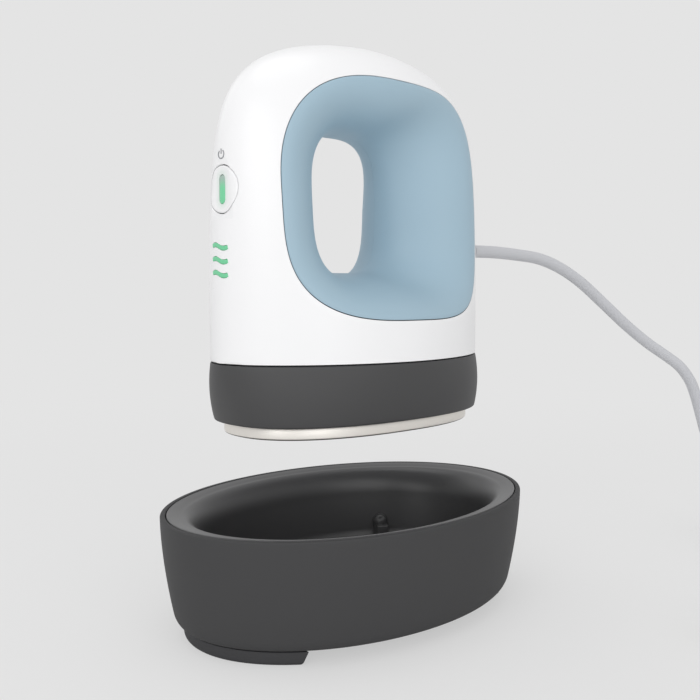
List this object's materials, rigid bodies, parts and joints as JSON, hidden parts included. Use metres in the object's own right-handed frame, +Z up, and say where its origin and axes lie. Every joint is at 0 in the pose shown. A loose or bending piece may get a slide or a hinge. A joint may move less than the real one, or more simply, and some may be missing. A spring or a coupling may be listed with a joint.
{
  "type": "mini heat press",
  "caption": "Handheld mini heat press with a through-hole grip, a flat heated plate and a mains cord, held above the deep oval base that it is set down in.",
  "frame": {"origin": "on the table under the middle of the oval base", "axes": "+Z up; +X towards the rear where the cord leaves; the nose with the button points to -X; +Y towards the side that the picture does not show"},
  "size_m": [0.2549, 0.1569, 0.1655],
  "materials": {
    "white_plastic": "smooth white moulded shell",
    "blue_grip": "satin pale blue grip",
    "charcoal_plastic": "matt charcoal heat-resistant plastic",
    "foot_rubber": "matt charcoal rubber",
    "plate_aluminium": "satin coated plate",
    "screw_steel": "plain",
    "element_steel": "heat-toned",
    "green_lens": "lit pale green lens",
    "board_green": "circuit board",
    "black_plastic": "moulded",
    "mica": "pressed mineral board",
    "capacitor_blue": "dipped",
    "contact_brass": "plain",
    "wire_black": "sleeved wire",
    "wire_brown": "insulated wire",
    "wire_white": "insulated wire",
    "cord_grey": "pale grey flexible sheath"
  },
  "bodies": {
    "base": {"base_shell": "charcoal_plastic", "base_liner": "charcoal_plastic", "foot_front": "foot_rubber", "foot_rear": "foot_rubber", "base_screw_front": "screw_steel", "base_screw_rear": "screw_steel", "cord_coil": "cord_grey", "cord_tail": "cord_grey", "cord_tie": "black_plastic", "plug_body": "cord_grey", "plug_blade_1": "contact_brass", "plug_blade_2": "contact_brass"},
    "press": {"body_shell": "white_plastic", "grip_left": "blue_grip", "grip_right": "blue_grip", "skirt": "charcoal_plastic", "heat_plate": "plate_aluminium", "plate_screw_1": "screw_steel", "plate_screw_2": "screw_steel", "plate_screw_3": "screw_steel", "plate_screw_4": "screw_steel", "shell_screw_1": "screw_steel", "shell_screw_2": "screw_steel", "shell_screw_3": "screw_steel", "shell_screw_4": "screw_steel", "board_screw_1": "screw_steel", "board_screw_2": "screw_steel", "clamp_screw_1": "screw_steel", "clamp_screw_2": "screw_steel", "element_clamp_plate": "screw_steel", "heating_element": "element_steel", "wave_light_guide": "green_lens", "control_board": "board_green", "switch_body": "black_plastic", "triac": "black_plastic", "controller_chip": "black_plastic", "cord_clamp": "black_plastic", "temperature_sensor": "black_plastic", "insulation_pad": "mica", "bar_led": "mica", "wave_led_1": "mica", "wave_led_2": "mica", "wave_led_3": "mica", "capacitor": "capacitor_blue", "thermal_fuse": "contact_brass", "heater_wire_1": "wire_black", "heater_wire_2": "wire_black", "mains_wire_1": "wire_brown", "mains_wire_2": "wire_brown", "sensor_wire": "wire_white", "cord_strain_relief": "cord_grey", "cord_inner_end": "cord_grey", "cord_lead": "cord_grey"},
    "button": {"power_button": "white_plastic", "light_bar": "green_lens"},
    "plunger": {"switch_plunger": "black_plastic"}
  },
  "joints": [
    {"name": "press_lift", "type": "slide", "parent": "base", "child": "press", "axis": [0, 0, 1], "range_m": [-0.0447, 0.0138], "deforming": ["cord_lead"]},
    {"name": "power_button_press", "type": "slide", "parent": "press", "child": "button", "axis": [1, 0, 0], "range_m": [0, 0.0006], "stiffness_N_per_m": 800},
    {"name": "switch_press", "type": "slide", "parent": "press", "child": "plunger", "axis": [1, 0, 0], "range_m": [0, 0.0006]}
  ],
  "couplings": [
    {"joint": "switch_press", "follows": "power_button_press", "ratio": 1}
  ]
}
